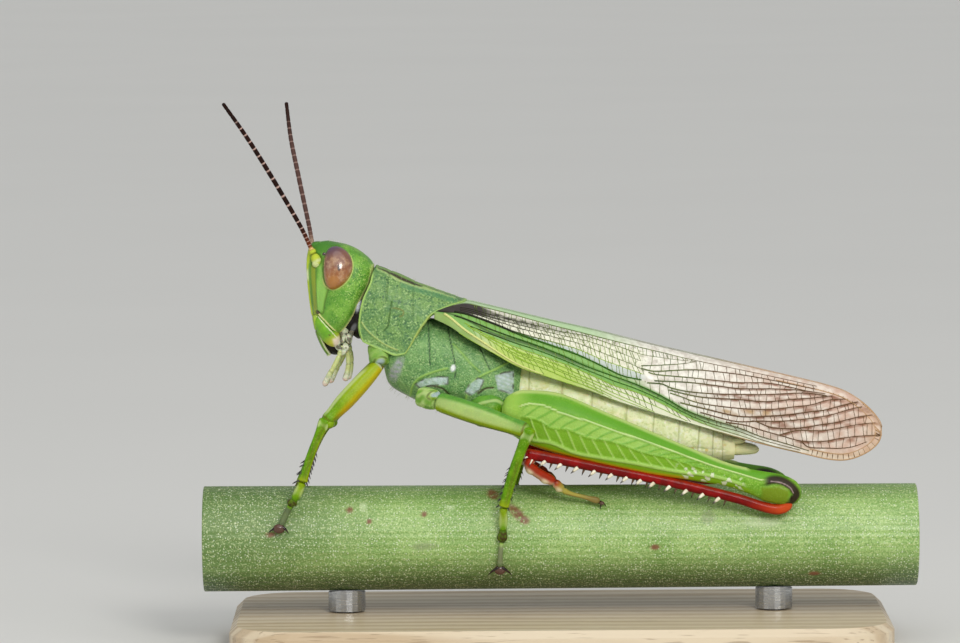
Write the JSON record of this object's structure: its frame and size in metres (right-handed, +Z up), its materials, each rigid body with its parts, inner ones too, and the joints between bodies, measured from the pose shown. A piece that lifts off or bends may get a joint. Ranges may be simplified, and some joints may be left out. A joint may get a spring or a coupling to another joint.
{
  "type": "grasshopper",
  "caption": "Still life-size green grasshopper with folded wings and red hind shins, sitting on a cut plant stem held over a flat base by short rods.",
  "frame": {"origin": "centre of the underside of the stand's base", "axes": "+Z up, -X towards the head, +X towards the wing tips along the stem, -Y towards the animal's left side"},
  "size_m": [0.05, 0.022, 0.0385],
  "materials": {
    "head_green": "satin",
    "mouth_pale": "satin",
    "eye_brown": "gloss",
    "antenna_brown": "satin",
    "body_green": "satin",
    "abdomen_pale": "satin",
    "wing_membrane": "gloss",
    "leg_green": "satin",
    "leg_red": "gloss",
    "stem_green": "satin",
    "stand_wood": "satin",
    "stand_steel": "satin"
  },
  "bodies": {
    "root": {"abdomen": "abdomen_pale", "abdomen_tip": "abdomen_pale", "antenna_left": "antenna_brown", "antenna_right": "antenna_brown", "cercus_left": "abdomen_pale", "cercus_right": "abdomen_pale", "eye_left": "eye_brown", "eye_right": "eye_brown", "fore_coxa_left": "leg_green", "fore_coxa_right": "leg_green", "fore_femur_left": "leg_green", "fore_femur_right": "leg_green", "fore_tarsus_left": "leg_green", "fore_tarsus_right": "leg_green", "fore_tibia_left": "leg_green", "fore_tibia_right": "leg_green", "head": "head_green", "hind_coxa_left": "leg_green", "hind_coxa_right": "leg_green", "hind_femur_left": "leg_green", "hind_femur_right": "leg_green", "hind_tarsus_left": "leg_red", "hind_tarsus_right": "leg_red", "hind_tibia_left": "leg_red", "hind_tibia_right": "leg_red", "hindwing_left": "wing_membrane", "hindwing_right": "wing_membrane", "labium": "mouth_pale", "labrum": "head_green", "mandible_left": "head_green", "mandible_right": "head_green", "mid_coxa_left": "leg_green", "mid_coxa_right": "leg_green", "mid_femur_left": "leg_green", "mid_femur_right": "leg_green", "mid_tarsus_left": "leg_green", "mid_tarsus_right": "leg_green", "mid_tibia_left": "leg_green", "mid_tibia_right": "leg_green", "neck": "body_green", "palp_labial_left": "mouth_pale", "palp_labial_right": "mouth_pale", "palp_maxillary_left": "mouth_pale", "palp_maxillary_right": "mouth_pale", "perch_stem": "stem_green", "pronotum": "body_green", "stand_base": "stand_wood", "stand_rod_front": "stand_steel", "stand_rod_rear": "stand_steel", "tegmen_left": "wing_membrane", "tegmen_right": "wing_membrane", "thorax": "body_green"}
  },
  "joints": []
}
